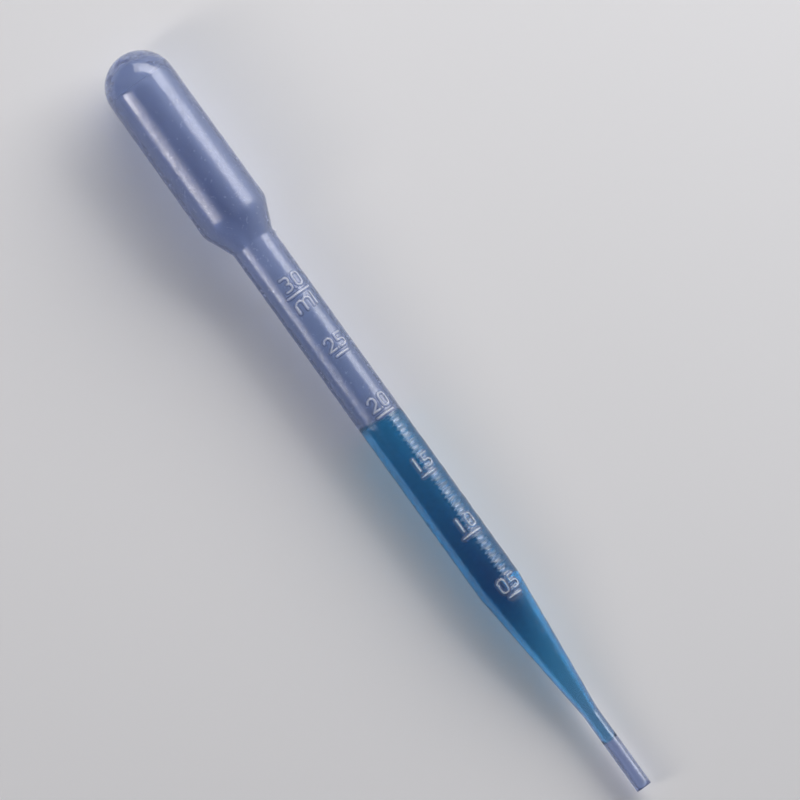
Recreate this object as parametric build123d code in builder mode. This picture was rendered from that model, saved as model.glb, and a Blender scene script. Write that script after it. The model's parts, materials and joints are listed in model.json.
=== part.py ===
"""A 3 ml plastic dropper pipette, blown in one piece, lying on its side with liquid drawn up.

Stations are distances along the pipette from the top of its dome. The frame has +Z up and +X
towards the tip, with the origin on the surface that it lies on, under the middle of its box.
"""
from build123d import *
import os
from math import asin, atan2, ceil, cos, hypot, pi, radians, sin, sqrt

os.makedirs("parts", exist_ok=True)

# ---------------------------------------------------------------- driving dimensions, mm
# Bulb: a dome, a long side that widens a little, and a shoulder that narrows to the stem
bulb_length = 34.0
bulb_radius_at_dome = 6.32
bulb_radius_at_shoulder = 6.42
shoulder_length = 5.2
shoulder_edge_rounding = 5.0
shoulder_foot_rounding = 1.6

# Stem, taper and tip
stem_length = 72.8
stem_radius = 4.06
taper_length = 27.0
taper_start_rounding = 12.0
taper_end_rounding = 15.0
tip_length = 16.0
tip_radius = 1.45

# Walls
side_wall = 0.53
dome_wall = 0.95
tip_wall = 0.48

# Raised graduation
graduation_volume = 500.0
lowest_mark_below_stem = 2.9
mark_height = 0.18
mark_width = 0.42
whole_mark_length = 3.8
half_mark_length = 2.8
top_mark_length = 4.8
digit_height = 2.8
digit_width = 1.6
digit_gap = 0.62
label_above_mark = 0.86
unit_below_mark = 0.62
stroke_width = 0.36
corner_share_of_width = 0.45
arch_width = 1.4
arch_share_of_digit_height = 0.7
graduation_angle = 22.0

# Parting line left by the two mould halves
flash_height = 0.06
flash_thickness = 0.16
flash_stops_before_tip = 3.0
flash_nub_radius = 0.28
flash_nub_sunk = 0.08
flash_nub_below_shoulder = 0.8

# Liquid held in the bore
filled_volume_marks = 4
level_below_mark = 0.2
level_tilt = 7.0
meniscus_depth = 0.35
empty_tip_length = 10.0
lower_meniscus_depth = 0.15

# ---------------------------------------------------------------- stations and bore
shoulder_foot = bulb_length + shoulder_length
stem_end = shoulder_foot + stem_length
taper_end = stem_end + taper_length
total_length = taper_end + tip_length

stem_bore_radius = stem_radius - side_wall
tip_bore_radius = tip_radius - tip_wall

mark_spacing = graduation_volume / (pi * stem_bore_radius**2)
lowest_mark = stem_end + lowest_mark_below_stem
label_room = label_above_mark + digit_height
mark_count = ceil((lowest_mark - label_room - shoulder_foot) / mark_spacing)


def mark_station(number):
    """Station of a mark: number 1 is the lowest."""
    return lowest_mark - (number - 1) * mark_spacing


# ---------------------------------------------------------------- how the pipette lies
# It touches the surface with the edge of its shoulder and with the start of its taper. Each is a
# rounded corner of the outline, so the surface is the common tangent of two circles.


def corner_circle(before, corner, after, rounding):
    """Centre of the circle that rounds an outward corner, as (station, radius)."""
    slope_in = atan2(corner[1] - before[1], corner[0] - before[0])
    slope_out = atan2(after[1] - corner[1], after[0] - corner[0])
    middle = (slope_in + slope_out) / 2
    back = rounding / cos((slope_out - slope_in) / 2)
    return corner[0] + back * sin(middle), corner[1] - back * cos(middle)


dome_foot_point = (bulb_radius_at_dome, bulb_radius_at_dome)
shoulder_edge_point = (bulb_length, bulb_radius_at_shoulder)
shoulder_foot_point = (shoulder_foot, stem_radius)
stem_end_point = (stem_end, stem_radius)
taper_end_point = (taper_end, tip_radius)
tip_end_point = (total_length, tip_radius)

front = corner_circle(
    dome_foot_point, shoulder_edge_point, shoulder_foot_point, shoulder_edge_rounding
)
rear = corner_circle(shoulder_foot_point, stem_end_point, taper_end_point, taper_start_rounding)
centres_apart = hypot(rear[0] - front[0], rear[1] - front[1])
centres_slope = atan2(rear[1] - front[1], rear[0] - front[0])
tilt = asin((shoulder_edge_rounding - taper_start_rounding) / centres_apart) - centres_slope
dome_top_height = front[0] * sin(tilt) + front[1] * cos(tilt) + shoulder_edge_rounding

box_start = bulb_radius_at_dome * (cos(tilt) - 1) - flash_height
box_end = total_length * cos(tilt) + tip_radius * sin(tilt)
dome_top = Vector(-(box_start + box_end) / 2, 0, dome_top_height)

towards_tip = Vector(cos(tilt), 0, -sin(tilt))
upwards = Vector(sin(tilt), 0, cos(tilt))
sideways = Vector(0, 1, 0)

pipette_axis = Axis(origin=dome_top, direction=towards_tip)
section_plane = Plane(origin=dome_top, x_dir=towards_tip, z_dir=sideways)
parting_plane = Plane(origin=dome_top, x_dir=towards_tip, z_dir=upwards)


# ---------------------------------------------------------------- half sections
def outer_half_section(proud=0.0):
    """Everything inside the outer surface, or inside a skin that stands proud of it."""
    with BuildLine(mode=Mode.PRIVATE) as outline:
        dome_radius = bulb_radius_at_dome + proud
        dome = CenterArc((bulb_radius_at_dome, 0), dome_radius, start_angle=90, arc_size=90)
        side = FilletPolyline(
            dome @ 0,
            (bulb_length, bulb_radius_at_shoulder + proud),
            (shoulder_foot, stem_radius + proud),
            (stem_end, stem_radius + proud),
            (taper_end, tip_radius + proud),
            (total_length, tip_radius + proud),
            radius=[
                shoulder_edge_rounding,
                shoulder_foot_rounding,
                taper_start_rounding,
                taper_end_rounding,
            ],
        )
        Polyline(side @ 1, (total_length, 0), dome @ 1)
    make_face(outline.edges())


def bore_half_section():
    """The hollow, from inside the dome to the open end of the tip."""
    with BuildLine(mode=Mode.PRIVATE) as outline:
        dome_radius = bulb_radius_at_dome - side_wall
        dome = CenterArc((dome_wall + dome_radius, 0), dome_radius, start_angle=90, arc_size=90)
        side = FilletPolyline(
            dome @ 0,
            (bulb_length, bulb_radius_at_shoulder - side_wall),
            (shoulder_foot, stem_bore_radius),
            (stem_end, stem_bore_radius),
            (taper_end, tip_bore_radius),
            (total_length, tip_bore_radius),
            radius=[
                shoulder_edge_rounding,
                shoulder_foot_rounding,
                taper_start_rounding,
                taper_end_rounding,
            ],
        )
        Polyline(side @ 1, (total_length, 0), dome @ 1)
    make_face(outline.edges())


# ---------------------------------------------------------------- raised figures
def pen(*points, radius=0.0):
    """One stroke with round ends along a path whose corners are rounded."""
    with BuildLine(mode=Mode.PRIVATE) as path:
        if len(points) == 2:
            Line(*points)
        else:
            FilletPolyline(*points, radius=radius)
    SlotArc(path.wire(), stroke_width)


def figure(character):
    """One figure, with its lower left corner at the origin of the current location."""
    left = stroke_width / 2
    right = digit_width - stroke_width / 2
    low = stroke_width / 2
    high = digit_height - stroke_width / 2
    middle = digit_height / 2
    bend = (right - left) * corner_share_of_width
    if character == "0":
        with Locations((digit_width / 2, middle)):
            RectangleRounded(digit_width, digit_height, bend + low)
            hole_width = digit_width - 2 * stroke_width
            hole_height = digit_height - 2 * stroke_width
            RectangleRounded(hole_width, hole_height, bend - low, mode=Mode.SUBTRACT)
    if character == "1":
        pen((digit_width / 2, low), (digit_width / 2, high))
    if character == "2":
        pen((left, high - bend), (left, high), (right, high), (right, middle), (left, low), radius=bend)
        pen((left, low), (right, low))
    if character == "3":
        pen((left, high), (right, high), (right, middle), (digit_width / 2, middle), radius=bend)
        pen((digit_width / 2, middle), (right, middle), (right, low), (left, low), radius=bend)
    if character == "4":
        pen((right, low), (right, high), (left, middle))
        pen((left, middle), (right, middle))
    if character == "5":
        pen((right, high), (left, high))
        pen((left, high), (left, middle))
        pen((left, middle), (right, middle), (right, low), (left, low), radius=bend)


def volume_label(number):
    """The volume in millilitres at a mark, such as 2.5, standing on the plane's X axis."""
    whole, tenths = divmod(number * 5, 10)
    first = -(2 * digit_width + digit_gap) / 2
    with Locations((first, 0)):
        figure(str(whole))
    with Locations((0, stroke_width / 2)):
        Circle(stroke_width / 2)
    with Locations((first + digit_width + digit_gap, 0)):
        figure(str(tenths))


def unit_label():
    """The letters ml, hanging below the plane's X axis."""
    foot = stroke_width / 2 - digit_height
    arch_top = foot + digit_height * arch_share_of_digit_height
    bend = arch_width * corner_share_of_width
    start = -digit_width - digit_gap / 2
    for arch in range(2):
        left = start + arch * arch_width
        right = left + arch_width
        pen((left, foot), (left, arch_top), (right, arch_top), (right, foot), radius=bend)
    pen((digit_width, foot), (digit_width, -stroke_width / 2))


def graduation_plane(station):
    """Plane above the stem, facing out, with Y towards the bulb and its origin over a station."""
    outwards = upwards * cos(radians(graduation_angle)) + sideways * sin(radians(graduation_angle))
    centre = dome_top + towards_tip * station + outwards * (stem_radius + mark_height)
    return Plane(origin=centre, x_dir=outwards.cross(towards_tip), z_dir=outwards)


# Deep enough for the ends of the longest mark to reach the middle of the wall
mark_end_drop = stem_radius - sqrt(stem_radius**2 - (top_mark_length / 2) ** 2)
figure_depth = mark_height + mark_end_drop + side_wall / 2

with BuildPart() as raised_figures:
    for number in range(1, mark_count + 1):
        with BuildSketch(graduation_plane(mark_station(number))):
            length = half_mark_length if number % 2 else whole_mark_length
            if number == mark_count:
                length = top_mark_length
            SlotOverall(length, mark_width)
            with Locations((0, label_above_mark)):
                volume_label(number)
            if number == mark_count:
                with Locations((0, -unit_below_mark)):
                    unit_label()
        extrude(amount=-figure_depth)
    with BuildSketch(section_plane):
        outer_half_section(mark_height)
    revolve(axis=pipette_axis, mode=Mode.INTERSECT)

# ---------------------------------------------------------------- parting line
flash_sheet_length = 2 * (taper_end - flash_stops_before_tip)
flash_sheet_width = 4 * bulb_radius_at_shoulder

with BuildPart() as parting_flash:
    with BuildSketch(section_plane):
        outer_half_section(flash_height)
    revolve(axis=pipette_axis)
    with BuildSketch(parting_plane):
        Rectangle(flash_sheet_length, flash_sheet_width)
    extrude(amount=flash_thickness / 2, both=True, mode=Mode.INTERSECT)

# ---------------------------------------------------------------- pipette body
nub_centre = (
    dome_top
    + towards_tip * (shoulder_foot + flash_nub_below_shoulder)
    + sideways * (stem_radius - flash_nub_sunk)
)

with BuildPart() as pipette_body:
    with BuildSketch(section_plane):
        outer_half_section()
    revolve(axis=pipette_axis)
    add(parting_flash.part)
    add(raised_figures.part)
    with Locations(nub_centre):
        Sphere(flash_nub_radius, rotation=(90, 0, 0))
    with BuildSketch(section_plane):
        bore_half_section()
    revolve(axis=pipette_axis, mode=Mode.SUBTRACT)

pipette_body.part.label = "pipette_body"
export_step(pipette_body.part, "parts/pipette_body.step")

# ---------------------------------------------------------------- liquid in the bore
liquid_top = mark_station(filled_volume_marks) + level_below_mark
liquid_end = total_length - empty_tip_length
above_liquid = liquid_top - stem_bore_radius
level_radius = (stem_bore_radius**2 + meniscus_depth**2) / (2 * meniscus_depth)
end_radius = (tip_bore_radius**2 + lower_meniscus_depth**2) / (2 * lower_meniscus_depth)

level_normal = towards_tip * -cos(radians(level_tilt)) + sideways * sin(radians(level_tilt))
level_centre = dome_top + towards_tip * (liquid_top + meniscus_depth) + level_normal * level_radius
end_centre = dome_top + towards_tip * (liquid_end - lower_meniscus_depth + end_radius)

with BuildPart() as liquid_column:
    with BuildSketch(section_plane):
        bore_half_section()
    revolve(axis=pipette_axis)
    with BuildSketch(section_plane):
        with Locations((liquid_end, 0)):
            Rectangle(liquid_end - above_liquid, 2 * stem_radius, align=(Align.MAX, Align.CENTER))
    extrude(amount=stem_radius, both=True, mode=Mode.INTERSECT)
    with Locations(level_centre):
        Sphere(level_radius, mode=Mode.SUBTRACT)
    with Locations(end_centre):
        Sphere(end_radius, mode=Mode.SUBTRACT)

liquid_column.part.label = "liquid_column"
export_step(liquid_column.part, "parts/liquid_column.step")
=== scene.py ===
"""Looks of a plastic dropper pipette that lies on its side with blue liquid in its stem."""

import json
import math

import bpy
import numpy as np
from mathutils import Matrix, Vector


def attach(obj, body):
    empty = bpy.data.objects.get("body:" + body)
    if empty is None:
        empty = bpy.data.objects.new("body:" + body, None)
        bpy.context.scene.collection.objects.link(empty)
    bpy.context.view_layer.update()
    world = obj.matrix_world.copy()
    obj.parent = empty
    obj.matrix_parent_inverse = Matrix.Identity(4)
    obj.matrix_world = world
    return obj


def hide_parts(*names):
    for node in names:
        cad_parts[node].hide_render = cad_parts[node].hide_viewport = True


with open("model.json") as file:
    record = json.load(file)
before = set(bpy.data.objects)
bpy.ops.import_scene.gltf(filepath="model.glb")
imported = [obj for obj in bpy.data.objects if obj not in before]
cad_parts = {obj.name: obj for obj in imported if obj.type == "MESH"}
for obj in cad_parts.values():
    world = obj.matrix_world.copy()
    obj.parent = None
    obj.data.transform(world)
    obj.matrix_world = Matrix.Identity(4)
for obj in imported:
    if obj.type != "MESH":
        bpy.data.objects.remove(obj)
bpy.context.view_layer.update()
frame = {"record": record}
MM = 0.001

# ---------------------------------------------------------------- sizes in mm, as in the model
# Stations are distances along the pipette from the top of its dome.
BULB_LENGTH = 34.0
BULB_RADIUS_AT_DOME = 6.32
BULB_RADIUS_AT_SHOULDER = 6.42
SHOULDER_FOOT = 39.2
STEM_RADIUS = 4.06
STEM_END = 112.0
TAPER_END = 139.0
TOTAL_LENGTH = 155.0
TIP_RADIUS = 1.45
SIDE_WALL = 0.53
DOME_WALL = 0.95
TIP_WALL = 0.48
CORNER_ROUNDINGS = (5.0, 1.6, 12.0, 15.0)
LOWEST_MARK = 114.9
MARK_COUNT = 6
MARK_VOLUME = 500.0
GRADUATION_ANGLE = math.radians(22.0)
LIQUID_EMPTY_TIP = 10.0
FILLED_MARKS = 4
LEVEL_BELOW_MARK = 0.2

STEM_BORE = STEM_RADIUS - SIDE_WALL
TIP_BORE = TIP_RADIUS - TIP_WALL
MARK_SPACING = MARK_VOLUME / (math.pi * STEM_BORE**2)
LIQUID_END = TOTAL_LENGTH - LIQUID_EMPTY_TIP


def mark_station(number):
    """Station of a mark, counted from the lowest one."""
    return LOWEST_MARK - (number - 1) * MARK_SPACING


FILLED_MARK = mark_station(FILLED_MARKS)
LEVEL = FILLED_MARK + LEVEL_BELOW_MARK

# ---------------------------------------------------------------- the pipette's own axes
mounts = {mount["name"]: mount for mount in frame["record"]["mounts"]}
towards_tip = Vector(mounts["tip_opening"]["axis"]).normalized()
sideways = Vector((0, 1, 0))
upwards = towards_tip.cross(sideways)
dome_top = Vector(mounts["tip_opening"]["pos_m"]) - towards_tip * TOTAL_LENGTH * MM


def placed(stations, radii, angles):
    """Points in metres. An angle is measured from the pipette's upper side towards +Y."""
    radial = np.cos(angles)[..., None] * np.array(upwards) + np.sin(angles)[..., None] * np.array(sideways)
    along = stations[..., None] * np.array(towards_tip)
    return np.array(dome_top) + (along + radii[..., None] * radial) * MM


# ---------------------------------------------------------------- camera
# The view is square to the pipette, from above, with the bulb at the upper left and the axis
# running down to the right. The picture's width, the aim's place beside the pipette's middle and
# the sensor's width are in mm, the camera's distance and clips in metres.
PICTURE_WIDTH = 137.93
AXIS_DIP = math.radians(54.3205)
AIM_RIGHT = 3.1
AIM_UP = 3.8
CAMERA_DISTANCE = 1.6
SENSOR_WIDTH = 36.0
NEAR_CLIP = 0.05
FAR_CLIP = 20.0

right = towards_tip * math.cos(AXIS_DIP) + sideways * math.sin(AXIS_DIP)
up = sideways * math.cos(AXIS_DIP) - towards_tip * math.sin(AXIS_DIP)
middle = dome_top + towards_tip * TOTAL_LENGTH * MM / 2
aim = middle + (right * AIM_RIGHT + up * AIM_UP) * MM

camera_data = bpy.data.cameras.new("camera")
camera = bpy.data.objects.new("camera", camera_data)
bpy.context.collection.objects.link(camera)
camera_data.sensor_width = SENSOR_WIDTH
camera_data.lens = SENSOR_WIDTH * CAMERA_DISTANCE / (PICTURE_WIDTH * MM)
camera_data.clip_start = NEAR_CLIP
camera_data.clip_end = FAR_CLIP
turn = Matrix((right, up, upwards)).transposed()
camera.matrix_world = Matrix.Translation(aim + upwards * CAMERA_DISTANCE) @ turn.to_4x4()
bpy.context.scene.camera = camera

# ---------------------------------------------------------------- light and floor
# Light sizes and distances are in metres, powers in watts, directions in degrees.
SKY_COLOUR = (0.86, 0.90, 1.0, 1)
SKY_STRENGTH = 0.10
CLEAR_BOUNCES = 24
GLOSSY_BOUNCES = 12

LIGHT_DISTANCE = 0.80
WARM = (1.0, 0.965, 0.93)
ROSY = (1.0, 0.92, 0.87)
KEY_AZIMUTH = 98
KEY_RISE = 26.5
KEY_WIDTH = 0.50
KEY_HEIGHT = 0.41
KEY_POWER = 3.6
LOW_RISE = 7.5
LOW_HEIGHT = 0.13
LOW_POWER = 0.6
FADING_AZIMUTH = 124
FADING_AZIMUTH_STEP = 17
FADING_WIDTH = 0.25
FADING_POWERS = (1.8, 1.6, 1.3)
LEFT_AZIMUTH = -97.6
LEFT_RISE = 29.5
LEFT_RISE_STEP = 5.5
LEFT_WIDTH = 0.15
LEFT_HEIGHT = 0.20
LEFT_HEIGHT_STEP = 0.16
LEFT_POWERS = (0.46, 0.53, 0.58)

FLOOR_COLOUR = (0.78, 0.80, 0.84, 1)
FLOOR_ROUGHNESS = 0.9
FLOOR_SPECULAR = 0.2
FLOOR_WIDTH = 8.0

scene = bpy.context.scene
scene.view_settings.view_transform = "Standard"
scene.cycles.max_bounces = CLEAR_BOUNCES
scene.cycles.transmission_bounces = CLEAR_BOUNCES
scene.cycles.glossy_bounces = GLOSSY_BOUNCES

world = bpy.data.worlds.new("studio")
world.use_nodes = True
world.node_tree.nodes["Background"].inputs["Color"].default_value = SKY_COLOUR
world.node_tree.nodes["Background"].inputs["Strength"].default_value = SKY_STRENGTH
scene.world = world


def softbox(name, azimuth, elevation, width, height, power, colour):
    """A rectangular light that faces the origin. Azimuth 90 is on the +Y side."""
    a = math.radians(azimuth)
    e = math.radians(elevation)
    away = Vector((math.cos(a) * math.cos(e), math.sin(a) * math.cos(e), math.sin(e)))
    data = bpy.data.lights.new(name, "AREA")
    data.shape = "RECTANGLE"
    data.size = width
    data.size_y = height
    data.energy = power
    data.color = colour
    light = bpy.data.objects.new(name, data)
    bpy.context.collection.objects.link(light)
    light.location = away * LIGHT_DISTANCE
    light.rotation_mode = "QUATERNION"
    light.rotation_quaternion = (-away).to_track_quat("-Z", "Y")
    light.visible_camera = False


# The key makes the streak on the +Y side, and its fading row carries that on round the dome.
softbox("key", KEY_AZIMUTH, KEY_RISE, KEY_WIDTH, KEY_HEIGHT, KEY_POWER, WARM)
softbox("key_low", KEY_AZIMUTH, LOW_RISE, KEY_WIDTH, LOW_HEIGHT, LOW_POWER, WARM)
for step, power in enumerate(FADING_POWERS):
    azimuth = FADING_AZIMUTH + FADING_AZIMUTH_STEP * step
    softbox(f"key_fading_{step + 1}", azimuth, KEY_RISE, FADING_WIDTH, KEY_HEIGHT, power, WARM)

# Three stacked lights make the streak on the -Y side, with one edge that falls off softly.
for step, power in enumerate(LEFT_POWERS):
    rise = LEFT_RISE + LEFT_RISE_STEP * step
    height = LEFT_HEIGHT + LEFT_HEIGHT_STEP * step
    softbox(f"left_{step + 1}", LEFT_AZIMUTH, rise, LEFT_WIDTH, height, power, ROSY)


def node_material(name):
    """A new material with its node tree and its shader."""
    material = bpy.data.materials.new(name)
    material.use_nodes = True
    tree = material.node_tree
    return material, tree, tree.nodes["Principled BSDF"]


def floor_material():
    """Matt pale paint."""
    material, tree, shader = node_material("pale_floor")
    shader.inputs["Base Color"].default_value = FLOOR_COLOUR
    shader.inputs["Roughness"].default_value = FLOOR_ROUGHNESS
    shader.inputs["Specular IOR Level"].default_value = FLOOR_SPECULAR
    return material


bpy.ops.mesh.primitive_plane_add(size=FLOOR_WIDTH, location=(0, 0, 0))
floor = bpy.context.object
floor.name = "floor"
floor.data.materials.append(floor_material())


# ---------------------------------------------------------------- outlines
def rounded_path(points, roundings, steps=8):
    """A path through points, with an arc at each inner corner whose rounding isn't 0."""
    points = [np.array(point, float) for point in points]
    path = [points[0]]
    for before, corner, after, rounding in zip(points, points[1:], points[2:], roundings):
        if rounding <= 0:
            path.append(corner)
            continue
        back = (before - corner) / np.linalg.norm(before - corner)
        on = (after - corner) / np.linalg.norm(after - corner)
        half = math.acos(np.clip(back @ on, -1, 1)) / 2
        reach = rounding / math.tan(half)
        centre = corner + (back + on) / np.linalg.norm(back + on) * rounding / math.sin(half)
        start = corner + back * reach - centre
        finish = corner + on * reach - centre
        sweep = math.pi - 2 * half
        side = finish - start * math.cos(sweep)
        side = side / np.linalg.norm(side)
        for turn_by in np.linspace(0, sweep, steps + 1):
            path.append(centre + start * math.cos(turn_by) + side * rounding * math.sin(turn_by))
    path.append(points[-1])
    return np.array(path)


def side_radius(stations, inset_side, inset_tip, dome_station):
    """Radius of the side below the dome, less the wall for the bore."""
    path = rounded_path(
        [
            (dome_station, BULB_RADIUS_AT_DOME - inset_side),
            (BULB_LENGTH, BULB_RADIUS_AT_SHOULDER - inset_side),
            (SHOULDER_FOOT, STEM_RADIUS - inset_side),
            (STEM_END, STEM_RADIUS - inset_side),
            (TAPER_END, TIP_RADIUS - inset_tip),
            (TOTAL_LENGTH, TIP_RADIUS - inset_tip),
        ],
        CORNER_ROUNDINGS,
    )
    return np.interp(stations, path[:, 0], path[:, 1])


def dome_rows(start, radius, count):
    """Stations and radii of a hemisphere whose top is at start."""
    turns = np.linspace(0, math.pi / 2, count + 1)[1:]
    return start + radius * (1 - np.cos(turns)), radius * np.sin(turns)


# ---------------------------------------------------------------- raised figures
MARK_HEIGHT = 0.18
MARK_WIDTH = 0.42
STROKE_WIDTH = 0.36
WHOLE_MARK_LENGTH = 3.8
HALF_MARK_LENGTH = 2.8
TOP_MARK_LENGTH = 4.8
DIGIT_HEIGHT = 2.8
DIGIT_WIDTH = 1.6
DIGIT_GAP = 0.62
LABEL_ABOVE_MARK = 0.86
UNIT_BELOW_MARK = 0.62
CORNER_SHARE_OF_WIDTH = 0.45
ARCH_WIDTH = 1.4
ARCH_SHARE_OF_DIGIT_HEIGHT = 0.7
HALF_POINT_LENGTH = 0.01
TENTHS_PER_MARK = 5
FIGURE_MARGIN = 0.5

# Shares of a stroke's width, from its middle: where its crown ends, where its skirt ends, and
# the place and spread of the painted shade along its foot.
CROWN = 0.16
SKIRT = 0.74
PAINTED_SHADE_PLACE = 0.84
PAINTED_SHADE_SPREAD = 0.30


def figure(character):
    """Paths of the strokes of a 0, 1, 2, 3 or 5, with its lower left corner at the origin."""
    left = STROKE_WIDTH / 2
    right = DIGIT_WIDTH - left
    low = left
    high = DIGIT_HEIGHT - left
    middle = DIGIT_HEIGHT / 2
    centre = DIGIT_WIDTH / 2
    bend = (right - left) * CORNER_SHARE_OF_WIDTH
    if character == "0":
        top = [(left, middle), (left, high), (right, high), (right, middle)]
        foot = [(left, middle), (left, low), (right, low), (right, middle)]
        return [rounded_path(top, (bend, bend)), rounded_path(foot, (bend, bend))]
    if character == "1":
        return [rounded_path([(centre, low), (centre, high)], ())]
    if character == "2":
        bow = [(left, high - bend), (left, high), (right, high), (right, middle), (left, low)]
        return [rounded_path(bow, (bend, bend, bend)), rounded_path([(left, low), (right, low)], ())]
    if character == "3":
        top = [(left, high), (right, high), (right, middle), (centre, middle)]
        foot = [(centre, middle), (right, middle), (right, low), (left, low)]
        return [rounded_path(top, (bend, bend)), rounded_path(foot, (bend, bend))]
    bowl = [(left, middle), (right, middle), (right, low), (left, low)]
    hook = [(right, high), (left, high), (left, middle)]
    return [rounded_path(hook, (0,)), rounded_path(bowl, (bend, bend))]


def volume_label(number):
    """Paths of the volume at a mark, such as 2.5, standing on the X axis."""
    whole, tenths = divmod(number * TENTHS_PER_MARK, 10)
    first = -(2 * DIGIT_WIDTH + DIGIT_GAP) / 2
    second = first + DIGIT_WIDTH + DIGIT_GAP
    point = [(-HALF_POINT_LENGTH, STROKE_WIDTH / 2), (HALF_POINT_LENGTH, STROKE_WIDTH / 2)]
    paths = [path + (first, 0) for path in figure(str(whole))]
    paths += [path + (second, 0) for path in figure(str(tenths))]
    paths.append(np.array(point))
    return paths


def unit_label():
    """Paths of the letters ml, hanging below the X axis."""
    foot = STROKE_WIDTH / 2 - DIGIT_HEIGHT
    arch_top = foot + DIGIT_HEIGHT * ARCH_SHARE_OF_DIGIT_HEIGHT
    bend = ARCH_WIDTH * CORNER_SHARE_OF_WIDTH
    start = -DIGIT_WIDTH - DIGIT_GAP / 2
    paths = []
    for arch in range(2):
        left = start + arch * ARCH_WIDTH
        right = left + ARCH_WIDTH
        path = [(left, foot), (left, arch_top), (right, arch_top), (right, foot)]
        paths.append(rounded_path(path, (bend, bend)))
    paths.append(np.array([(DIGIT_WIDTH, foot), (DIGIT_WIDTH, -STROKE_WIDTH / 2)]))
    return paths


def distance_to(paths, x, y):
    """Distance from each point to the nearest of the paths."""
    nearest = np.full(x.shape, np.inf)
    for path in paths:
        for (ax, ay), (bx, by) in zip(path, path[1:]):
            dx, dy = bx - ax, by - ay
            length = dx * dx + dy * dy
            if length == 0:
                continue
            share = np.clip(((x - ax) * dx + (y - ay) * dy) / length, 0, 1)
            gap = np.hypot(x - ax - share * dx, y - ay - share * dy)
            nearest = np.minimum(nearest, gap)
    return nearest


def ridge(distance, width):
    """Rounded section of a raised stroke, from 1 on its middle to 0 past its edge."""
    crown = width * CROWN
    skirt = width * SKIRT
    share = np.clip((distance - crown) / (skirt - crown), 0, 1)
    return 0.5 + 0.5 * np.cos(math.pi * share)


def painted_foot_shade(distance, width):
    """The painted shade along a raised stroke's foot, from 0 to 1."""
    return np.exp(-(((distance - PAINTED_SHADE_PLACE * width) / (PAINTED_SHADE_SPREAD * width)) ** 2))


def mark_length(number):
    """Length of a mark: short at a half, longer at a whole, longest at the top."""
    if number == MARK_COUNT:
        return TOP_MARK_LENGTH
    return HALF_MARK_LENGTH if number % 2 else WHOLE_MARK_LENGTH


def figures_on(stations, angles):
    """Height of the raised marks and figures in mm, and the painted shade round their feet from 0 to 1."""
    raised = np.zeros(np.broadcast(stations, angles).shape)
    painted_crease_shade = np.zeros(raised.shape)
    across = STEM_RADIUS * np.sin(angles - GRADUATION_ANGLE) + 0 * stations
    facing = np.cos(angles - GRADUATION_ANGLE) > 0
    for number in range(1, MARK_COUNT + 1):
        height = mark_station(number) - stations + 0 * angles
        near = facing & (height > -UNIT_BELOW_MARK - DIGIT_HEIGHT - FIGURE_MARGIN)
        near &= height < LABEL_ABOVE_MARK + DIGIT_HEIGHT + FIGURE_MARGIN
        x, y = across[near], height[near]
        reach = (mark_length(number) - MARK_WIDTH) / 2
        mark = distance_to([np.array([(-reach, 0), (reach, 0)])], x, y)
        text = distance_to(volume_label(number), x, y - LABEL_ABOVE_MARK)
        if number == MARK_COUNT:
            text = np.minimum(text, distance_to(unit_label(), x, y + UNIT_BELOW_MARK))
        here = np.maximum(ridge(mark, MARK_WIDTH), ridge(text, STROKE_WIDTH))
        # Painted shade along the feet of the strokes and marks.
        foot = np.maximum(painted_foot_shade(mark, MARK_WIDTH), painted_foot_shade(text, STROKE_WIDTH))
        raised[near] = np.maximum(raised[near], here)
        painted_crease_shade[near] = np.maximum(painted_crease_shade[near], foot)
    return raised * MARK_HEIGHT, painted_crease_shade * (1 - raised)


# ---------------------------------------------------------------- unevenness of the moulding
# Heights, stations and the lengths of rises and fades are in mm, angles in degrees.
SKIN_HEIGHT = 0.012
SKIN_FADE = 20
SKIN_TIP_FADE = 30
LEAST_SKIN = 0.3

# A strip of fine marks runs along the pipette, just on the +Y side of the graduation's middle.
STRIP_ANGLE = 34
STRIP_END = STEM_END + 3
STRIP_FADE = 4
RIPPLE_STRIP = 11
RIPPLE_RISE = 8
UPPER_RIPPLES = 0.12
BROAD_RIPPLE_HEIGHT = 0.06
SHARP_RIPPLE_HEIGHT = 0.015
SCUFF_STRIP = 20
SCUFF_RISE = 2
UPPER_SCUFFS = 0.25
RUNG_CONTRAST = 1.6
RUNG_COVER = 0.3
BLOOM = 0.33
BLOOM_START = 6
BLOOM_RISE = 5

# Painted shade: the dry stem's colour darkens from here down to the level.
STEM_SHADE_START = SHOULDER_FOOT + 3
STEM_SHADE_RISE = 10
STEM_SHADE_EDGE = 0.8

FLASH_HEIGHT = 0.035
FLASH_UNEVENNESS = 0.015
LEAST_FLASH = 0.01
MOST_FLASH = 0.06
FLASH_WIDTH = 0.10
FLASH_END = TAPER_END - 3.0
FLASH_FADE = 2
NUB_HEIGHT = 0.30
NUB_WIDTH = 0.28
NUB_STATION = SHOULDER_FOOT + 0.8

BROAD_LUMP_HEIGHT = 0.11
SMALL_LUMP_HEIGHT = 0.04
LUMPS_END = 8.0
LUMPS_FADE = 4
DRAWN_HEIGHT = 0.012
DRAWN_FADE = 10


def rising(stations, start, length):
    """Share that rises from 0 at start to 1 over a length."""
    return np.clip((stations - start) / length, 0, 1)


def fading(stations, end, length):
    """Share that falls from 1 to 0 over a length, and gets there at end."""
    return np.clip((end - stations) / length, 0, 1)


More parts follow.
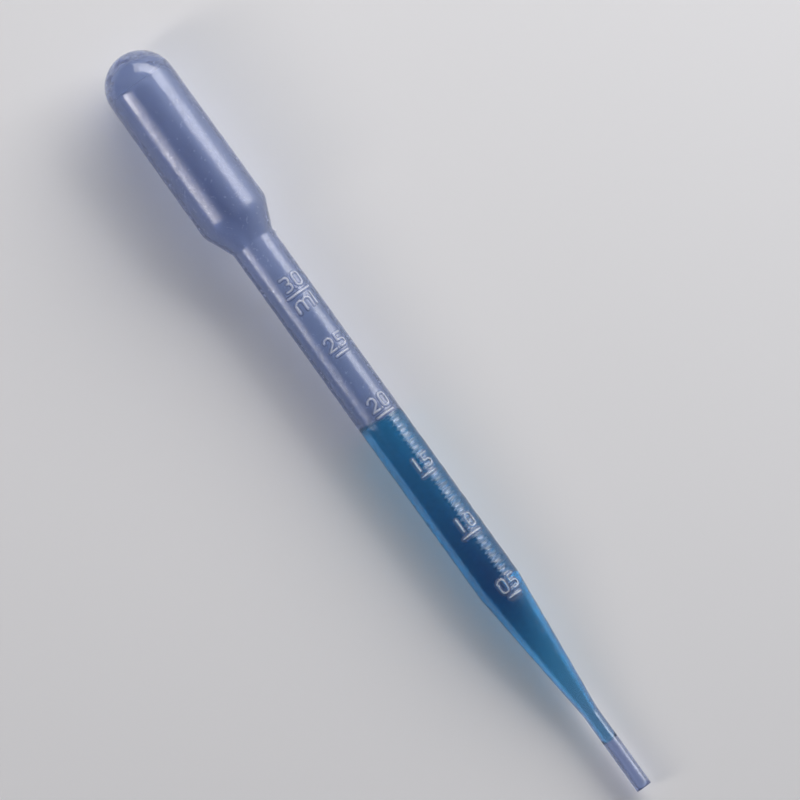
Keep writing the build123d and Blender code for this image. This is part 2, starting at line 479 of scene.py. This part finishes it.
def waves(stations, angles, seed, pitch, lobes, count=14, longest=4):
    """A smooth random field closed round the pipette, mostly from -1 to 1.

    pitch is the shortest wave along it in mm, longest the longest one in pitches, and lobes the
    most waves round it.
    """
    draw = np.random.default_rng(seed)
    total = np.zeros(np.broadcast(stations, angles).shape)
    for _ in range(count):
        along = 2 * math.pi / (pitch * draw.uniform(1, longest)) * draw.choice((-1, 1))
        around = draw.integers(0, lobes + 1)
        total = total + np.cos(along * stations + around * angles + draw.uniform(0, 2 * math.pi))
    return total / math.sqrt(count)


def from_strip(angles):
    """Degrees from the middle of the strip."""
    return np.degrees(angles) % 360 - STRIP_ANGLE


def uneven_skin(stations, angles):
    """Broad shallow waves of the outer skin, least from near the level on, and none at the tip."""
    skin = SKIN_HEIGHT * waves(stations, angles, seed=3, pitch=6.0, lobes=5)
    skin = skin * np.clip((FILLED_MARK - stations) / SKIN_FADE, LEAST_SKIN, 1)
    return skin * fading(stations, TOTAL_LENGTH, SKIN_TIP_FADE)


def ripples(stations, angles):
    """Short chatter waves in the strip, strong on the lower stem."""
    lower = rising(stations, FILLED_MARK, RIPPLE_RISE) * fading(stations, STRIP_END, STRIP_FADE)
    strip = np.exp(-((from_strip(angles) / RIPPLE_STRIP) ** 2))
    broad = waves(stations, angles, seed=21, pitch=1.0, lobes=8, count=12, longest=1.5)
    sharp = waves(stations, angles, seed=22, pitch=0.42, lobes=8, count=12, longest=1.2)
    chatter = BROAD_RIPPLE_HEIGHT * broad + SHARP_RIPPLE_HEIGHT * sharp
    return (UPPER_RIPPLES + (1 - UPPER_RIPPLES) * lower) * strip * chatter


def scuffs(stations, angles):
    """How matt the skin is, from 0 to 1: rungs across the strip, strong on the lower stem, and a
    faint bloom on the bulb and the upper stem."""
    wet = rising(stations, FILLED_MARK, SCUFF_RISE)
    bloom = BLOOM * (1 - wet) * rising(stations, BLOOM_START, BLOOM_RISE)
    lower = wet * fading(stations, STRIP_END, STRIP_FADE)
    strip = np.exp(-((from_strip(angles) / SCUFF_STRIP) ** 4))
    rungs = waves(stations, angles, seed=31, pitch=0.9, lobes=4, count=10, longest=1.5)
    rungs = np.clip(RUNG_CONTRAST * rungs + RUNG_COVER, 0, 1)
    return np.maximum((UPPER_SCUFFS + (1 - UPPER_SCUFFS) * lower) * strip * rungs, bloom)


def painted_stem_shade(stations):
    """Share of the painted shade that darkens the dry stem: none at its top, growing down it, none past
    the level.
    """
    down_stem = rising(stations, STEM_SHADE_START, STEM_SHADE_RISE)
    to_level = fading(stations, LEVEL + STEM_SHADE_EDGE / 2, STEM_SHADE_EDGE)
    return down_stem * to_level


def parting_ridge(stations, angles, radii):
    """Fine uneven flash along both sides, and one small nub under the shoulder."""
    gap = radii * np.arccos(np.clip(np.abs(np.sin(angles)), 0, 1))
    height = FLASH_HEIGHT + FLASH_UNEVENNESS * waves(stations, 0 * angles, seed=11, pitch=1.5, lobes=0)
    line = np.clip(height, LEAST_FLASH, MOST_FLASH) * np.exp(-((gap / FLASH_WIDTH) ** 2))
    line = line * fading(stations, FLASH_END, FLASH_FADE)
    one_side = np.sin(angles) > 0
    off_nub = ((stations - NUB_STATION) / NUB_WIDTH) ** 2 + (gap / NUB_WIDTH) ** 2
    return line + NUB_HEIGHT * np.exp(-off_nub) * one_side


def bore_unevenness(stations, angles):
    """Lumps inside the dome, and long shallow waves of the bore down to the stem's end."""
    broad = BROAD_LUMP_HEIGHT * waves(stations, angles, seed=5, pitch=1.5, lobes=7, count=20)
    small = SMALL_LUMP_HEIGHT * waves(stations, angles, seed=6, pitch=0.6, lobes=24, count=24)
    lumps = (broad + small) * fading(stations, LUMPS_END, LUMPS_FADE)
    drawn = DRAWN_HEIGHT * waves(stations, angles, seed=8, pitch=40.0, lobes=9)
    return lumps + drawn * fading(stations, STEM_END, DRAWN_FADE)


# ---------------------------------------------------------------- grids and meshes
def grid_faces(rows, columns, first=0):
    """Quads of a grid that is closed round the pipette. They face away from the axis where the
    rows run from dome to tip, and towards it where they run back."""
    row, column = np.meshgrid(np.arange(rows - 1), np.arange(columns), indexing="ij")
    here = first + row * columns + column
    beside = first + row * columns + (column + 1) % columns
    quads = np.stack((here, here + columns, beside + columns, beside), axis=-1)
    return quads.reshape(-1, 4).tolist()


def fan_faces(apex, first, columns, backwards=False):
    """Triangles from a point to a ring of points."""
    faces = []
    for column in range(columns):
        here, beside = first + column, first + (column + 1) % columns
        faces.append((apex, beside, here) if backwards else (apex, here, beside))
    return faces


def zipped(outer, outer_at, inner, inner_at):
    """Triangles between two rings of points whose counts differ, with the angles they are at."""
    faces = []
    i = j = 0
    while i < len(outer) or j < len(inner):
        next_outer = outer_at[i + 1] if i + 1 < len(outer) else 2 * math.pi + outer_at[0]
        next_inner = inner_at[j + 1] if j + 1 < len(inner) else 2 * math.pi + inner_at[0]
        a = outer[i % len(outer)]
        b = inner[j % len(inner)]
        if j >= len(inner) or (i < len(outer) and next_outer <= next_inner):
            faces.append((a, b, outer[(i + 1) % len(outer)]))
            i += 1
        else:
            faces.append((a, b, inner[(j + 1) % len(inner)]))
            j += 1
    return faces


def mesh_object(name, points, faces, material):
    """A smooth shaded mesh object."""
    mesh = bpy.data.meshes.new(name)
    mesh.from_pydata(points.tolist(), [], faces)
    mesh.polygons.foreach_set("use_smooth", np.ones(len(mesh.polygons), bool))
    mesh.materials.append(material)
    mesh.update()
    made = bpy.data.objects.new(name, mesh)
    bpy.context.collection.objects.link(made)
    return made


def spread(start, end, step):
    """Evenly spaced values from start up to, but without, end."""
    count = max(1, math.ceil((end - start) / step))
    return np.linspace(start, end, count + 1)[:-1]


# ---------------------------------------------------------------- the moulding's mesh
# Rows are steps along the pipette in mm, columns are steps round it in degrees.
FINE_ROW = 0.12
WIDE_ROW = 0.8
SHOULDER_EDGE_ROW = 0.25
SHOULDER_ROW = 0.4
SHOULDER_FOOT_ROW = 0.15
TAPER_END_ROW = 0.3
TIP_ROW = 1.0
INNER_SHOULDER_ROW = 0.3
INNER_STEM_ROW = 1.2
INNER_BEND_ROW = 0.4
BELOW_DOME = 0.4
NEAR_BEND = 1.0
NEAR_FOOT = 2.0
NEAR_TAPER_END = 1.5
ROWS_PAST_LABEL = 0.3
ROWS_PAST_MARK = 0.5

FIGURE_COLUMN = 1.4
FIGURE_HALF_ANGLE = 41
PARTING_COLUMN = 0.75
PARTING_HALF_ANGLE = 3
SIDE_COLUMN = 4.5
BACK_COLUMN = 6.0
BORE_COLUMN = 4.0

DOME_ROWS = 22
INNER_DOME_ROWS = 36
INNER_DOME_RADIUS = BULB_RADIUS_AT_DOME - SIDE_WALL
RIM_ROUNDING = 0.08
RIM_ROWS = 5
RIM_MARGIN = 0.12

# Unevenness and raised parts have their full height where the radius is at least this.
EVEN_OUTER_RADIUS = 3
EVEN_BORE_RADIUS = 2.5

# A stroke is milky over its top third, and whitened there as a painted highlight. Flash and the
# nub are milky and whitened the same way by their height, in shares per mm.
MILK_AND_HIGHLIGHT_FROM = 2 / 3
FLASH_MILK_AND_HIGHLIGHT = 8.0

LEAST_HAZE = 0.25
HAZE_START = 1
HAZE_RISE = 7
WETTED_OVER = 0.6


def outer_angles():
    """Columns: fine where the figures are and at the parting lines, wide elsewhere."""
    figures = math.degrees(GRADUATION_ANGLE)
    start, end = figures - FIGURE_HALF_ANGLE, figures + FIGURE_HALF_ANGLE
    near, far = 90 - PARTING_HALF_ANGLE, 90 + PARTING_HALF_ANGLE
    parts = [
        spread(start, end, FIGURE_COLUMN),
        spread(end, near, SIDE_COLUMN),
        spread(near, far, PARTING_COLUMN),
        spread(far, near + 180, BACK_COLUMN),
        spread(near + 180, far + 180, PARTING_COLUMN),
        spread(far + 180, start + 360, SIDE_COLUMN),
    ]
    return np.sort(np.radians(np.concatenate(parts) % 360))


def outer_stations():
    """Rows below the dome: fine where the figures and the rungs are, wide elsewhere."""
    parts = [
        spread(BULB_RADIUS_AT_DOME + BELOW_DOME, BULB_LENGTH - NEAR_BEND, WIDE_ROW),
        spread(BULB_LENGTH - NEAR_BEND, BULB_LENGTH + NEAR_BEND, SHOULDER_EDGE_ROW),
        spread(BULB_LENGTH + NEAR_BEND, SHOULDER_FOOT - NEAR_BEND, SHOULDER_ROW),
        spread(SHOULDER_FOOT - NEAR_BEND, SHOULDER_FOOT + NEAR_FOOT, SHOULDER_FOOT_ROW),
    ]
    reached = SHOULDER_FOOT + NEAR_FOOT
    for number in range(MARK_COUNT, 0, -1):
        start = mark_station(number) - LABEL_ABOVE_MARK - DIGIT_HEIGHT - ROWS_PAST_LABEL
        end = mark_station(number) + ROWS_PAST_MARK
        if number == MARK_COUNT:
            end = mark_station(number) + UNIT_BELOW_MARK + DIGIT_HEIGHT + ROWS_PAST_LABEL
        between = FINE_ROW if number < FILLED_MARKS else WIDE_ROW
        parts += [spread(reached, start, between), spread(start, end, FINE_ROW)]
        reached = end
    parts += [
        spread(reached, TAPER_END - NEAR_TAPER_END, WIDE_ROW),
        spread(TAPER_END - NEAR_TAPER_END, TAPER_END + NEAR_TAPER_END, TAPER_END_ROW),
        spread(TAPER_END + NEAR_TAPER_END, TOTAL_LENGTH - RIM_MARGIN, TIP_ROW),
    ]
    return np.concatenate(parts)


def inner_stations():
    """Rows of the bore below the dome: fine at its bends, wide elsewhere."""
    parts = [
        spread(DOME_WALL + INNER_DOME_RADIUS + BELOW_DOME, BULB_LENGTH - NEAR_BEND, WIDE_ROW),
        spread(BULB_LENGTH - NEAR_BEND, SHOULDER_FOOT + NEAR_FOOT, INNER_SHOULDER_ROW),
        spread(SHOULDER_FOOT + NEAR_FOOT, STEM_END - NEAR_BEND, INNER_STEM_ROW),
        spread(STEM_END - NEAR_BEND, STEM_END + NEAR_BEND, INNER_BEND_ROW),
        spread(STEM_END + NEAR_BEND, TAPER_END - NEAR_BEND, INNER_STEM_ROW),
        spread(TAPER_END - NEAR_BEND, TAPER_END + NEAR_BEND, INNER_BEND_ROW),
        spread(TAPER_END + NEAR_BEND, TOTAL_LENGTH, INNER_STEM_ROW),
        [TOTAL_LENGTH],
    ]
    return np.concatenate(parts)


def outer_skin():
    """Points of the skin and the tip's rim, from dome to tip, its columns, and its shares."""
    angles = outer_angles()
    dome_u, dome_r = dome_rows(0, BULB_RADIUS_AT_DOME, DOME_ROWS)
    side_u = outer_stations()
    side_r = side_radius(side_u, 0, 0, BULB_RADIUS_AT_DOME)
    turns = np.linspace(0, math.pi / 2, RIM_ROWS)
    rim_u = TOTAL_LENGTH - RIM_ROUNDING + RIM_ROUNDING * np.sin(turns)
    rim_r = TIP_RADIUS - RIM_ROUNDING + RIM_ROUNDING * np.cos(turns)
    stations = np.concatenate((dome_u, side_u, rim_u))
    radii = np.concatenate((dome_r, side_r, rim_r))
    u, a = np.meshgrid(stations, angles, indexing="ij")
    r = np.repeat(radii[:, None], len(angles), axis=1)
    skin = uneven_skin(u, a) + ripples(u, a)
    # The second share is painted shade along the feet of the figures.
    figures, painted_crease_shade = figures_on(u, a)
    parting = parting_ridge(u, a, r)
    settle = np.clip(r / EVEN_OUTER_RADIUS, 0, 1)
    points = placed(u, r + (skin + (figures + parting)) * settle, a).reshape(-1, 3)
    # Milky, and whitened as a painted highlight: the crowns of the strokes, the flash and the nub.
    stroke_milk_and_highlight = (figures / MARK_HEIGHT - MILK_AND_HIGHLIGHT_FROM) / (1 - MILK_AND_HIGHLIGHT_FROM)
    milk_and_painted_highlight = np.clip(np.maximum(stroke_milk_and_highlight, FLASH_MILK_AND_HIGHLIGHT * parting), 0, 1)
    shares = {
        # milky, with a painted highlight on the crowns, the flash and the nub
        "milk_and_painted_highlight": milk_and_painted_highlight.reshape(-1),
        # painted shade in the creases at the feet of the figures
        "painted_crease_shade": painted_crease_shade.reshape(-1),
        "scuffs": scuffs(u, a).reshape(-1),
        # painted shade that darkens the dry stem downwards
        "stem_shade": painted_stem_shade(u).reshape(-1),
    }
    return points, angles, shares


def bore_skin():
    """Points of the bore from tip to dome, its columns, and its haze, with none where it is wet."""
    angles = np.radians(spread(0, 360, BORE_COLUMN))
    dome_u, dome_r = dome_rows(DOME_WALL, INNER_DOME_RADIUS, INNER_DOME_ROWS)
    side_u = inner_stations()
    side_r = side_radius(side_u, SIDE_WALL, TIP_WALL, DOME_WALL + INNER_DOME_RADIUS)
    stations = np.concatenate((dome_u, side_u))[::-1]
    radii = np.concatenate((dome_r, side_r))[::-1]
    u, a = np.meshgrid(stations, angles, indexing="ij")
    r = np.repeat(radii[:, None], len(angles), axis=1)
    settle = np.clip(r / EVEN_BORE_RADIUS, 0, 1)
    points = placed(u, r + bore_unevenness(u, a) * settle, a).reshape(-1, 3)
    below_level = (u - FILLED_MARK) / WETTED_OVER
    above_end = (LIQUID_END - u) / WETTED_OVER
    wet = np.clip(np.minimum(below_level, above_end), 0, 1)
    haze = (1 - wet) * np.clip((u - HAZE_START) / HAZE_RISE, LEAST_HAZE, 1)
    return points, angles, haze.reshape(-1)


def body_mesh(material):
    """The whole moulding: outer skin with its raised figures, rim of the tip, and bore."""
    outer, angles, shares = outer_skin()
    inner, bore_angles, haze = bore_skin()
    ends = placed(np.array([0.0, DOME_WALL]), np.zeros(2), np.zeros(2))
    points = np.concatenate((outer, inner, ends))
    columns, bore_columns = len(angles), len(bore_angles)
    rows, bore_rows = len(outer) // columns, len(inner) // bore_columns
    first = len(outer)
    apex = first + len(inner)
    outer_ring = list(range(first - columns, first))
    inner_ring = list(range(first, first + bore_columns))
    faces = grid_faces(rows, columns)
    faces += grid_faces(bore_rows, bore_columns, first)
    faces += zipped(outer_ring, angles, inner_ring, bore_angles)
    faces += fan_faces(apex, 0, columns)
    faces += fan_faces(apex + 1, apex - bore_columns, bore_columns, backwards=True)
    body = mesh_object("pipette_moulding", points, faces, material)

    not_on_bore = np.zeros(len(inner) + len(ends))
    attributes = {"haze": np.concatenate((np.zeros(len(outer)), haze, [0.0, LEAST_HAZE]))}
    for name, values in shares.items():
        attributes[name] = np.concatenate((values, not_on_bore))
    for name, values in attributes.items():
        body.data.attributes.new(name, "FLOAT", "POINT").data.foreach_set("value", values)
    return body


# ---------------------------------------------------------------- liquid
LEVEL_TILT = math.radians(7.0)
MENISCUS_DEPTH = 0.35
LOWER_MENISCUS_DEPTH = 0.15
MENISCUS_RINGS = 14
SIDE_ROWS = 69
WETTING = 0.02


def liquid_mesh(material):
    """The column in the bore. It reaches a hair into the wall, so no air film shows between them."""
    angles = np.radians(spread(0, 360, BORE_COLUMN))
    columns = len(angles)
    bow = (STEM_BORE**2 + MENISCUS_DEPTH**2) / (2 * MENISCUS_DEPTH)
    bow_station = LEVEL + MENISCUS_DEPTH - bow * math.cos(LEVEL_TILT)
    bow_side = bow * math.sin(LEVEL_TILT)
    shares = np.sin(np.linspace(0, math.pi / 2, MENISCUS_RINGS + 1))[1:]
    rows = []
    for share in shares:
        radius = np.full(columns, share * (STEM_BORE + WETTING))
        aside = radius * np.sin(angles) - bow_side
        level = bow_station + np.sqrt(bow**2 - aside**2 - (radius * np.cos(angles)) ** 2)
        rows.append(placed(level, radius, angles))
    rim_level = level
    for step in np.linspace(0, 1, SIDE_ROWS + 1)[1:]:
        station = rim_level + (LIQUID_END - rim_level) * step
        radius = side_radius(station, SIDE_WALL, TIP_WALL, 0) + WETTING
        rows.append(placed(station, radius, angles))
    for share in shares[-2::-1]:
        radius = np.full(columns, share * (TIP_BORE + WETTING))
        level = LIQUID_END - LOWER_MENISCUS_DEPTH * (1 - share**2)
        rows.append(placed(np.full(columns, level), radius, angles))
    top_middle = bow_station + math.sqrt(bow**2 - bow_side**2)
    ends = placed(np.array([top_middle, LIQUID_END - LOWER_MENISCUS_DEPTH]), np.zeros(2), np.zeros(2))
    apex = len(rows) * columns
    points = np.concatenate(rows + [ends])
    faces = grid_faces(len(rows), columns)
    faces += fan_faces(apex, 0, columns)
    faces += fan_faces(apex + 1, apex - columns, columns, backwards=True)
    return mesh_object("blue_liquid_fill", points, faces, material)


# ---------------------------------------------------------------- nodes
def noise(tree, scale, detail, stretch=(1, 1, 1)):
    """Noise in object coordinates, in features per metre, stretched along the object's axes."""
    place = tree.nodes.new("ShaderNodeTexCoord")
    mapping = tree.nodes.new("ShaderNodeMapping")
    mapping.inputs["Scale"].default_value = stretch
    texture = tree.nodes.new("ShaderNodeTexNoise")
    texture.inputs["Scale"].default_value = scale
    texture.inputs["Detail"].default_value = detail
    tree.links.new(place.outputs["Object"], mapping.inputs["Vector"])
    tree.links.new(mapping.outputs["Vector"], texture.inputs["Vector"])
    return texture.outputs["Fac"]


def ranged(tree, value, low, high):
    """A value from 0 to 1 moved to low to high."""
    mapped = tree.nodes.new("ShaderNodeMapRange")
    mapped.inputs["To Min"].default_value = low
    mapped.inputs["To Max"].default_value = high
    tree.links.new(value, mapped.inputs["Value"])
    return mapped.outputs["Result"]


def bump(tree, height, distance, strength):
    """A normal from a height, whose full range is distance metres where strength is 1."""
    node = tree.nodes.new("ShaderNodeBump")
    node.inputs["Distance"].default_value = distance
    tree.links.new(strength, node.inputs["Strength"])
    tree.links.new(height, node.inputs["Height"])
    return node.outputs["Normal"]


def combined(tree, operation, a, b):
    """The result of a maths node on two values."""
    node = tree.nodes.new("ShaderNodeMath")
    node.operation = operation
    tree.links.new(a, node.inputs[0])
    tree.links.new(b, node.inputs[1])
    return node.outputs["Value"]


def share_named(tree, name):
    """A point attribute of the mesh, from 0 to 1."""
    node = tree.nodes.new("ShaderNodeAttribute")
    node.attribute_name = name
    return node.outputs["Fac"]


def mixed_colour(tree, share, first, second):
    """A colour from first to second by a share."""
    node = tree.nodes.new("ShaderNodeMix")
    node.data_type = "RGBA"
    tree.links.new(share, node.inputs["Factor"])
    for value, socket in ((first, node.inputs[6]), (second, node.inputs[7])):
        if isinstance(value, tuple):
            socket.default_value = value
        else:
            tree.links.new(value, socket)
    return node.outputs[2]


def lamps_through(tree, shader, share):
    """Lets light from lamps straight through, so that what is inside and behind is lit."""
    path = tree.nodes.new("ShaderNodeLightPath")
    clear = tree.nodes.new("ShaderNodeBsdfTransparent")
    clear.inputs["Color"].default_value = share
    mix = tree.nodes.new("ShaderNodeMixShader")
    tree.links.new(path.outputs["Is Shadow Ray"], mix.inputs["Fac"])
    tree.links.new(shader.outputs["BSDF"], mix.inputs[1])
    tree.links.new(clear.outputs["BSDF"], mix.inputs[2])
    tree.links.new(mix.outputs["Shader"], tree.nodes["Material Output"].inputs["Surface"])


def absorbing(tree, colour, density):
    """Colours light by the length of its way through."""
    depth = tree.nodes.new("ShaderNodeVolumeAbsorption")
    depth.inputs["Color"].default_value = colour
    depth.inputs["Density"].default_value = density
    tree.links.new(depth.outputs["Volume"], tree.nodes["Material Output"].inputs["Volume"])


# ---------------------------------------------------------------- materials
PLASTIC_IOR = 1.51
SKIN_COLOUR = (0.56, 0.62, 0.77, 1)
# Painted shade: the darker colour that the dry stem takes on downwards.
PAINTED_STEM_SHADE_COLOUR = (0.44, 0.52, 0.67, 1)
# Painted shade: the dark colour of the creases at the feet of the figures.
PAINTED_CREASE_SHADE_COLOUR = (0.12, 0.16, 0.33, 1)
# Painted highlight: the whitened colour of the figures' crowns, the flash and the nub.
MILKY_HIGHLIGHT_COLOUR = (0.90, 0.92, 0.98, 1)
PLASTIC_DEPTH_COLOUR = (0.40, 0.50, 0.76, 1)
PLASTIC_DENSITY = 260.0
PLASTIC_LAMP_SHARE = (0.50, 0.52, 0.56, 1)
CLEAR_TRANSMISSION = 0.985
HAZY_TRANSMISSION = 0.82
# Less clear on the crowns, flash and nub, which are milky and whitened as a painted highlight.
HIGHLIGHT_MILK = 0.45
# Less clear in the creases, so that their painted shade shows.
PAINTED_SHADE_MILK = 0.5
CLEAR_ROUGHNESS = 0.06
HAZY_ROUGHNESS = 0.38

# Noise scales are in features per metre, and the height of the peel is in metres.
STRIPE_SCALE = 1500
STRIPE_STRETCH = (0.02, 1, 1)
STRIPE_RANGE = (-0.9, 1.7)
MOTTLE_SCALE = 1200
MOTTLE_RANGE = (-0.7, 1.1)
GRAIN_SCALE = 1500
GRAIN_RANGE = (-0.15, 1.05)
PEEL_SCALE = 1200
PEEL_STRETCH = (0.6, 1, 1)
PEEL_HEIGHT = 0.00004
PEEL_STRENGTH = 3.0

WATER_IOR = 1.333
WATER_ROUGHNESS = 0.02
WATER_COLOUR = (0.97, 0.99, 1.0, 1)
WATER_DEPTH_COLOUR = (0.0, 0.90, 0.96, 1)
WATER_DENSITY = 460.0
WATER_LAMP_SHARE = (0.9, 0.9, 0.9, 1)


def plastic_material():
    """Soft clear polyethylene: cool, glossy, and milky where the bore is dry and on raised figures.
    Painted shade darkens the dry stem downwards and the creases at the figures' feet, and a
    painted highlight whitens the figures' crowns, the flash and the nub."""
    material, tree, shader = node_material("clear_polyethylene")
    shader.inputs["IOR"].default_value = PLASTIC_IOR
    haze = share_named(tree, "haze")
    milk_and_painted_highlight = share_named(tree, "milk_and_painted_highlight")
    painted_crease_shade = share_named(tree, "painted_crease_shade")
    scuffed = share_named(tree, "scuffs")

    # Painted shade darkens the dry stem downwards.
    skin_colour = mixed_colour(tree, share_named(tree, "stem_shade"), SKIN_COLOUR, PAINTED_STEM_SHADE_COLOUR)
    # Painted shade: the creases at the feet of the figures are painted dark.
    shaded = mixed_colour(tree, painted_crease_shade, skin_colour, PAINTED_CREASE_SHADE_COLOUR)
    # Painted highlight: the figures' crowns, the flash and the nub are whitened.
    coloured = mixed_colour(tree, milk_and_painted_highlight, shaded, MILKY_HIGHLIGHT_COLOUR)
    tree.links.new(coloured, shader.inputs["Base Color"])

    striped = ranged(tree, noise(tree, STRIPE_SCALE, detail=4, stretch=STRIPE_STRETCH), *STRIPE_RANGE)
    mottled = ranged(tree, noise(tree, MOTTLE_SCALE, detail=4), *MOTTLE_RANGE)
    milk = combined(tree, "MULTIPLY", haze, combined(tree, "ADD", striped, mottled))
    clear = ranged(tree, milk, CLEAR_TRANSMISSION, HAZY_TRANSMISSION)
    # Less clear on the crowns, flash and nub, which are milky and whitened as a painted highlight.
    clear = combined(tree, "SUBTRACT", clear, ranged(tree, milk_and_painted_highlight, 0.0, HIGHLIGHT_MILK))
    # Less clear in the creases, so that their painted shade shows.
    clear = combined(tree, "SUBTRACT", clear, ranged(tree, painted_crease_shade, 0.0, PAINTED_SHADE_MILK))
    tree.links.new(clear, shader.inputs["Transmission Weight"])

    grains = ranged(tree, noise(tree, GRAIN_SCALE, detail=2), *GRAIN_RANGE)
    matt = combined(tree, "MULTIPLY", scuffed, grains)
    hazy = ranged(tree, haze, CLEAR_ROUGHNESS, HAZY_ROUGHNESS)
    tree.links.new(combined(tree, "ADD", hazy, matt), shader.inputs["Roughness"])

    peel = noise(tree, PEEL_SCALE, detail=2, stretch=PEEL_STRETCH)
    skin = bump(tree, peel, PEEL_HEIGHT, ranged(tree, scuffed, 0.0, PEEL_STRENGTH))
    tree.links.new(skin, shader.inputs["Normal"])
    lamps_through(tree, shader, PLASTIC_LAMP_SHARE)
    absorbing(tree, PLASTIC_DEPTH_COLOUR, PLASTIC_DENSITY)
    return material


def liquid_material():
    """Clear blue dyed water."""
    material, tree, shader = node_material("blue_liquid")
    shader.inputs["Base Color"].default_value = WATER_COLOUR
    shader.inputs["IOR"].default_value = WATER_IOR
    shader.inputs["Roughness"].default_value = WATER_ROUGHNESS
    shader.inputs["Transmission Weight"].default_value = 1.0
    lamps_through(tree, shader, WATER_LAMP_SHARE)
    absorbing(tree, WATER_DEPTH_COLOUR, WATER_DENSITY)
    return material


body = body_mesh(plastic_material())
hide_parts("pipette_body")
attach(body, "root")

liquid = liquid_mesh(liquid_material())
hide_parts("liquid_column")
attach(liquid, "root")
